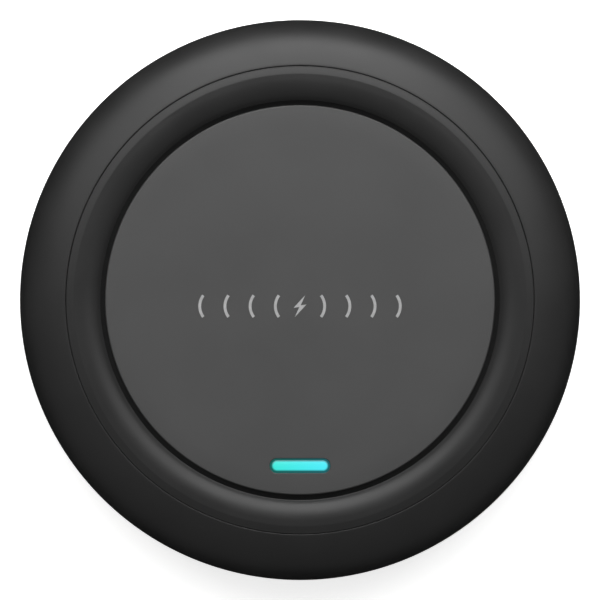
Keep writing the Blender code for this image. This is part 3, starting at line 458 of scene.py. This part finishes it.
def make_bottom_cover():
    """The base plate: eased rim, foot groove, screw bosses and counterbores, vents and a label recess."""
    groove = (FOOT_HIGH.x - FOOT_WIDTH - PIECE_GAP, FOOT_HIGH.x + PIECE_GAP)
    easing = 0.25 * MM
    top = UNDERSIDE + BASE_THICKNESS
    outline = [(0.0, UNDERSIDE), (groove[0] - easing, UNDERSIDE), (groove[0], UNDERSIDE + easing)]
    outline += [(groove[0], GROOVE_TOP), (groove[1], GROOVE_TOP), (groove[1], UNDERSIDE + easing)]
    outline += [(groove[1] + easing, UNDERSIDE), (BASE_HIGH.x - easing, UNDERSIDE)]
    outline += [(BASE_HIGH.x, UNDERSIDE + easing), (BASE_HIGH.x, top), (0.0, top)]
    cover = add_piece("bottom_cover", turned(outline, closed=False), "base_cover")
    bosses = bmesh.new()
    holes = bmesh.new()
    for angle in SCREW_ANGLES:
        place = polar(SCREW_CIRCLE, angle)
        boss_foot = top - CUT_OVERRUN
        boss = [(0.0, boss_foot), (BOSS_RADIUS, boss_foot), (BOSS_RADIUS, BASE_HIGH.z), (0.0, BASE_HIGH.z)]
        append_bm(bosses, turned(boss, 32, False, place))
        bore_foot = UNDERSIDE - CUT_OVERRUN
        bore_top = UNDERSIDE + COUNTERBORE_DEPTH
        bore_end = BASE_HIGH.z + 2 * CUT_OVERRUN
        bore = [(0.0, bore_foot), (COUNTERBORE + CUT_OVERRUN + easing, bore_foot)]
        bore += [(COUNTERBORE, UNDERSIDE + easing), (COUNTERBORE, bore_top), (SCREW_BORE, bore_top)]
        bore += [(SCREW_BORE, bore_end), (0.0, bore_end)]
        append_bm(holes, turned(bore, 40, False, place))
    for index in range(VENT_COUNT):
        y = VENT_Y + (index - (VENT_COUNT - 1) / 2) * VENT_PITCH
        layers = [(UNDERSIDE - easing, 2 * easing), (UNDERSIDE + easing, 0.0), (top + 2 * CUT_OVERRUN, 0.0)]
        append_bm(holes, lofted_bar(VENT_LENGTH, VENT_WIDTH, layers, upright(0.0, y), 8))
    recess = bmesh.new()
    size = (*LABEL_SIZE, 2 * LABEL_DEPTH)
    bmesh.ops.create_cube(
        recess, size=1.0, matrix=Matrix.Translation((0.0, LABEL_Y, UNDERSIDE)) @ Matrix.Diagonal((*size, 1.0))
    )
    uprights = [edge for edge in recess.edges if abs(edge.verts[0].co.z - edge.verts[1].co.z) > LABEL_DEPTH]
    bmesh.ops.bevel(
        recess, geom=uprights, offset=RECESS_CORNER, segments=8, profile=0.5, affect="EDGES", material=-1
    )
    append_bm(holes, recess)
    carve(cover, bosses, "UNION")
    carve(cover, holes)
    return cover


def make_foot_band():
    """The silicone ring, soft-edged, standing in its groove."""
    inner = FOOT_HIGH.x - FOOT_WIDTH
    easing = 0.3 * MM
    outline = [(inner, FOOT_HIGH.z)]
    outline += corner((inner + easing, FOOT_LOW.z + easing), easing, 180, 270)
    outline += corner((FOOT_HIGH.x - easing, FOOT_LOW.z + easing), easing, 270, 360)
    outline += [(FOOT_HIGH.x, FOOT_HIGH.z)]
    return add_piece("foot_band", turned(outline), "anti_slip_ring")


def make_label():
    """A blank label in the cover's recess."""
    bm = bmesh.new()
    size = (LABEL_SIZE[0] - 2 * LABEL_MARGIN, LABEL_SIZE[1] - 2 * LABEL_MARGIN, LABEL_THICKNESS)
    level = UNDERSIDE + LABEL_DEPTH - size[2] / 2
    bmesh.ops.create_cube(
        bm, size=1.0, matrix=Matrix.Translation((0.0, LABEL_Y, level)) @ Matrix.Diagonal((*size, 1.0))
    )
    uprights = [edge for edge in bm.edges if abs(edge.verts[0].co.z - edge.verts[1].co.z) > size[2] / 2]
    bmesh.ops.bevel(
        bm, geom=uprights, offset=LABEL_CORNER, segments=8, profile=0.5, affect="EDGES", material=-1
    )
    return add_piece("rating_label", bm)


# Power socket


def make_socket_can():
    """The drawn metal socket shell, its mouth eased inside and out."""
    back = SOCKET_LOW.y
    mouth = SOCKET_HIGH.y
    easing = 0.08 * MM
    outer = [(back, 0.0), (mouth - easing, 0.0), (mouth, -easing)]
    can_bm = lofted_bar(SOCKET_WIDTH, SOCKET_HEIGHT, outer, facing_back())
    can = add_piece("socket_can", can_bm, "usb_socket_shell")
    inner = [(back + SHEET_METAL, 0.0), (mouth - easing, 0.0), (mouth + easing, 2 * easing)]
    size = (SOCKET_WIDTH - 2 * SHEET_METAL, SOCKET_HEIGHT - 2 * SHEET_METAL)
    carve(can, lofted_bar(*size, inner, facing_back()))
    return can


def make_socket_contacts():
    """Two rows of gold-plated contacts let into the tongue."""
    bm = bmesh.new()
    front = INSERT_HIGH.y - 0.25 * MM
    for side in (-1, 1):
        level = SOCKET_LEVEL + side * TONGUE_THICKNESS / 2
        for index in range(CONTACT_COUNT):
            x = (index - (CONTACT_COUNT - 1) / 2) * CONTACT_PITCH
            place = Matrix.Translation((x, front - CONTACT_SIZE[1] / 2, level))
            bmesh.ops.create_cube(bm, size=1.0, matrix=place @ Matrix.Diagonal((*CONTACT_SIZE, 1.0)))
    return add_piece("socket_contacts", bm)


# Materials


def add_node(material, kind, inputs=None, **settings):
    """Adds a node with its settings, and fills its inputs with values or links."""
    node = material.node_tree.nodes.new(kind)
    for name, value in settings.items():
        setattr(node, name, value)
    for name, value in (inputs or {}).items():
        if isinstance(value, bpy.types.NodeSocket):
            material.node_tree.links.new(value, node.inputs[name])
        else:
            node.inputs[name].default_value = value
    return node


def new_finish(name, values):
    """A material whose shader has the values that are the same all over the surface."""
    material = bpy.data.materials.new(name)
    material.use_nodes = True
    shader = material.node_tree.nodes["Principled BSDF"]
    for socket, value in values.items():
        shader.inputs[socket].default_value = value
    return material, shader


def moulded(name, dark, light, cloud_mm, roughness, grain_mm, grain_depth_mm, values=None):
    """A grained surface: soft clouds between two close colours, uneven gloss and a fine bump.

    Sizes are the real ones in millimetres; roughness is the range that the clouds sweep.
    """
    material, shader = new_finish(name, values or {})
    place = add_node(material, "ShaderNodeTexCoord").outputs["Object"]
    cloud = add_node(
        material, "ShaderNodeTexNoise", {"Vector": place, "Scale": 1 / (cloud_mm * MM), "Detail": 4.0}
    ).outputs["Fac"]
    blend = add_node(material, "ShaderNodeValToRGB", {"Fac": cloud})
    blend.color_ramp.elements[0].position = 0.35
    blend.color_ramp.elements[0].color = linear(dark)
    blend.color_ramp.elements[1].position = 0.65
    blend.color_ramp.elements[1].color = linear(light)
    grain = add_node(
        material, "ShaderNodeTexNoise", {"Vector": place, "Scale": 1 / (grain_mm * MM), "Detail": 2.0}
    ).outputs["Fac"]
    gloss = add_node(
        material, "ShaderNodeMapRange",
        {"Value": cloud, "From Min": 0.3, "From Max": 0.7, "To Min": roughness[0], "To Max": roughness[1]},
    )
    bump = add_node(
        material, "ShaderNodeBump", {"Height": grain, "Distance": grain_depth_mm * MM, "Strength": 1.0}
    )
    for output, socket in ((blend.outputs["Color"], "Base Color"), (gloss.outputs["Result"], "Roughness"),
                           (bump.outputs["Normal"], "Normal")):
        material.node_tree.links.new(output, shader.inputs[socket])
    return material


def satin_black_abs():
    """ABS moulded in a finely blasted tool: near black, with a broad soft sheen along the curve."""
    values = {"Specular IOR Level": 0.25}
    return moulded("satin_black_abs", "#191919", "#1B1B1B", 9.0, (0.38, 0.44), 0.30, 0.0025, values)


def matte_charcoal_abs():
    """ABS from a matt-etched tool: a flat dark grey that stays even across the disc."""
    values = {"Specular IOR Level": 0.25}
    return moulded("matte_charcoal_abs", "#373737", "#393939", 14.0, (0.50, 0.56), 0.30, 0.003, values)


def textured_black_abs():
    """ABS from a spark-eroded tool: a coarser, duller black for the hidden underside."""
    return moulded("textured_black_abs", "#1C1C1D", "#222223", 6.0, (0.55, 0.65), 0.45, 0.012)


def silicone_rubber():
    """Moulded silicone: soft dark grey with no clear reflections."""
    return moulded("silicone_rubber", "#2A2A2B", "#303031", 5.0, (0.75, 0.85), 0.20, 0.004)


def filled_black_nylon():
    """Glass-filled nylon: black with a slightly fibrous sheen."""
    return moulded("filled_black_nylon", "#1B1B1C", "#232324", 2.0, (0.42, 0.55), 0.15, 0.004)


def natural_nylon():
    """Natural nylon: milky off-white with a waxy surface."""
    return moulded("natural_nylon", "#D6D4CB", "#DEDCD4", 4.0, (0.40, 0.48), 0.25, 0.003)


def sintered_ferrite():
    """Pressed and fired ferrite: dark grey, with a sandy dull surface."""
    return moulded("sintered_ferrite", "#343332", "#403F3D", 1.5, (0.55, 0.70), 0.15, 0.006)


def amber_film():
    """Polyimide adhesive film: thin amber with a clear gloss."""
    return moulded("amber_film", "#C99A3C", "#D6A84A", 3.0, (0.18, 0.28), 0.60, 0.002)


def solder_mask():
    """Green solder mask over glass cloth: glossy, with the weave faintly raised."""
    return moulded("solder_mask", "#12512E", "#175C36", 3.0, (0.22, 0.32), 0.40, 0.003)


def moulded_epoxy():
    """Chip packages of filled epoxy: charcoal with a fine matt grain."""
    return moulded("moulded_epoxy", "#232324", "#2B2B2C", 1.0, (0.55, 0.68), 0.10, 0.004)


def fired_ceramic():
    """Fired ceramic bodies of capacitors and the inductor: a warm dull brown."""
    return moulded("fired_ceramic", "#8C7358", "#9C8266", 1.2, (0.45, 0.60), 0.12, 0.003)


def phosphor_lens():
    """Phosphor-filled silicone over the lamps: pale yellow and slightly glossy."""
    return moulded("phosphor_lens", "#E3DFA4", "#ECE8B4", 0.8, (0.25, 0.35), 0.10, 0.002)


def stranded_copper():
    """Enamelled copper strands in a bundle: bright warm metal, ridged where the strands lie side by side."""
    values = {"Metallic": 1.0}
    return moulded("stranded_copper", "#B4693A", "#D08A52", 0.8, (0.28, 0.42), 0.12, 0.02, values)


def nickel_plate():
    """Drawn and nickel-plated steel: a warm silver with a soft, slightly streaked shine."""
    values = {"Metallic": 1.0}
    return moulded("nickel_plate", "#B9B7B1", "#C7C5BF", 1.5, (0.20, 0.32), 0.10, 0.001, values)


def zinc_plate():
    """Zinc-plated steel screws: a cool grey metal, unevenly dull."""
    values = {"Metallic": 1.0}
    return moulded("zinc_plate", "#9FA2A5", "#B6B9BC", 0.8, (0.28, 0.42), 0.12, 0.002, values)


def gold_plate():
    """Hard gold over nickel: small bright yellow contacts."""
    values = {"Metallic": 1.0}
    return moulded("gold_plate", "#D9A63C", "#E6B850", 0.5, (0.18, 0.26), 0.08, 0.001, values)


def pad_printed_ink():
    """Pad-printed ink: a thin pale grey film, a little uneven in strength."""
    return moulded("pad_printed_ink", "#828282", "#8C8C8C", 0.7, (0.45, 0.55), 0.15, 0.002)


def label_foil():
    """A blank matt foil label: pale silver grey."""
    return moulded("label_foil", "#A9AAAB", "#B2B3B4", 4.0, (0.45, 0.52), 0.20, 0.001)


def frosted_acrylic():
    """Frosted acrylic lit from below: cyan, greener at its left end, fading to dark teal along its rim."""
    values = {"Base Color": linear("#0A3E40"), "Roughness": 0.35}
    material, shader = new_finish("frosted_acrylic", values)
    place = add_node(material, "ShaderNodeTexCoord").outputs["Object"]
    parts = add_node(material, "ShaderNodeSeparateXYZ", {"Vector": place}).outputs
    across = add_node(
        material, "ShaderNodeMapRange",
        {"Value": parts["X"], "From Min": -LENS_LENGTH / 2, "From Max": LENS_LENGTH / 2},
    ).outputs["Result"]
    tint = add_node(material, "ShaderNodeValToRGB", {"Fac": across})
    tint.color_ramp.elements[0].color = linear("#34EBD9")
    tint.color_ramp.elements[1].color = linear("#48EDFC")
    straight = (LENS_LENGTH - LENS_WIDTH) / 2
    sideways = add_node(material, "ShaderNodeMath", {0: parts["X"]}, operation="ABSOLUTE").outputs[0]
    past_end = add_node(
        material, "ShaderNodeMath", {0: sideways, 1: straight}, operation="SUBTRACT"
    ).outputs[0]
    end_part = add_node(material, "ShaderNodeMath", {0: past_end, 1: 0.0}, operation="MAXIMUM").outputs[0]
    off_axis = add_node(
        material, "ShaderNodeMath", {0: parts["Y"], 1: LENS_Y}, operation="SUBTRACT"
    ).outputs[0]
    offset = add_node(material, "ShaderNodeCombineXYZ", {"X": end_part, "Y": off_axis}).outputs["Vector"]
    distance = add_node(
        material, "ShaderNodeVectorMath", {0: offset}, operation="LENGTH"
    ).outputs["Value"]
    strength = add_node(
        material, "ShaderNodeMapRange",
        {"Value": distance, "From Min": GLOW_CORE, "From Max": LENS_WIDTH / 2,
         "To Min": GLOW_LEVEL, "To Max": GLOW_RIM},
        interpolation_type="SMOOTHSTEP",
    ).outputs["Result"]
    material.node_tree.links.new(tint.outputs["Color"], shader.inputs["Emission Color"])
    material.node_tree.links.new(strength, shader.inputs["Emission Strength"])
    return material


def floor_paper():
    """A matt white light table: its own faint glow thins the shadow round the pad."""
    values = {"Emission Color": linear("#FFFFFF"), "Emission Strength": TABLE_GLOW}
    return moulded("matt_light_table", "#F0F0EF", "#F4F4F3", 60.0, (0.90, 0.95), 0.8, 0.01, values)


def dress(material, *pieces):
    """Gives pieces or carried-over CAD nodes their material."""
    for piece in pieces:
        if piece.material_slots:
            piece.material_slots[0].material = material
        else:
            piece.data.materials.append(material)


# Studio


def make_floor():
    """A broad slab just under the feet. A very low camera sees its pale inside below the table's top."""
    bm = bmesh.new()
    place = Matrix.Translation((0.0, 0.0, -FLOOR_CLEARANCE - FLOOR_DEPTH / 2))
    size = Matrix.Diagonal((FLOOR_SIDE, FLOOR_SIDE, FLOOR_DEPTH, 1.0))
    bmesh.ops.create_cube(bm, size=1.0, matrix=place @ size)
    mesh = bpy.data.meshes.new("studio_floor")
    bm.to_mesh(mesh)
    bm.free()
    floor = bpy.data.objects.new("studio_floor", mesh)
    bpy.context.scene.collection.objects.link(floor)
    floor.visible_glossy = False  # the black rim would otherwise mirror the white floor along its edge
    dress(floor_paper(), floor)


def add_softbox(name, azimuth, elevation, distance, width, height, power):
    """A softbox aimed at the pad, its width level with the floor."""
    lamp = bpy.data.lights.new(name, "AREA")
    lamp.shape = "RECTANGLE"
    lamp.size = width
    lamp.size_y = height
    lamp.energy = power
    softbox = bpy.data.objects.new(name, lamp)
    bpy.context.scene.collection.objects.link(softbox)
    level = math.radians(elevation)
    softbox.location = polar(distance * math.cos(level), math.radians(azimuth), distance * math.sin(level))
    softbox.rotation_mode = "QUATERNION"
    softbox.rotation_quaternion = (-softbox.location).to_track_quat("-Z", "Y")
    softbox.visible_camera = False


def light_studio():
    """The softboxes, and a weak pale world that is dark below the horizon."""
    for settings in STUDIO_LIGHTS:
        add_softbox(*settings)
    world = bpy.data.worlds.new("studio_air")
    bpy.context.scene.world = world
    world.use_nodes = True
    direction = add_node(world, "ShaderNodeTexCoord").outputs["Generated"]
    height = add_node(world, "ShaderNodeSeparateXYZ", {"Vector": direction}).outputs["Z"]
    strength = add_node(
        world, "ShaderNodeMapRange", {"Value": height, "From Min": -0.05, "From Max": 0.25, "To Max": AMBIENT}
    ).outputs["Result"]
    background = world.node_tree.nodes["Background"]
    background.inputs["Color"].default_value = linear("#FAFAFA")
    world.node_tree.links.new(strength, background.inputs["Strength"])


def place_camera():
    """Looks straight down, the socket side at the top."""
    camera_data = bpy.data.cameras.new("studio_camera")
    camera_data.type = "ORTHO"
    camera_data.ortho_scale = FRAMED_WIDTH
    camera = bpy.data.objects.new("studio_camera", camera_data)
    camera.location = (0.0, 0.0, 0.6)
    bpy.context.scene.collection.objects.link(camera)
    bpy.context.scene.camera = camera


bpy.context.scene.view_settings.view_transform = "Standard"

rim_finish = satin_black_abs()
dress(rim_finish, make_rim_shell(), make_bezel_ring())
dress(matte_charcoal_abs(), make_charging_disc())
dress(frosted_acrylic(), make_status_lens())
dress(pad_printed_ink(), make_printed_mark())
dress(textured_black_abs(), make_bottom_cover())
dress(silicone_rubber(), make_foot_band())
dress(label_foil(), make_label())
dress(nickel_plate(), make_socket_can())
dress(gold_plate(), make_socket_contacts())
dress(filled_black_nylon(), nodes["usb_socket_insert"], nodes["light_shroud"])
dress(zinc_plate(), *(node for name, node in nodes.items() if "_screw_" in name))
dress(solder_mask(), nodes["circuit_board"])
dress(natural_nylon(), nodes["coil_carrier"])
dress(sintered_ferrite(), nodes["ferrite_sheet"])
dress(amber_film(), nodes["coil_film"], nodes["disc_tape_ring"])
dress(stranded_copper(), nodes["transmitter_coil"])
chips = ("input_capacitor", "controller_chip", "thermistor", "bridge_transistor")
dress(moulded_epoxy(), *(node for name, node in nodes.items() if name.startswith(chips)))
ceramics = ("power_inductor", "resonance_capacitor")
dress(fired_ceramic(), *(node for name, node in nodes.items() if name.startswith(ceramics)))
dress(phosphor_lens(), *(node for name, node in nodes.items() if name.startswith("status_led")))

make_floor()
light_studio()
place_camera()
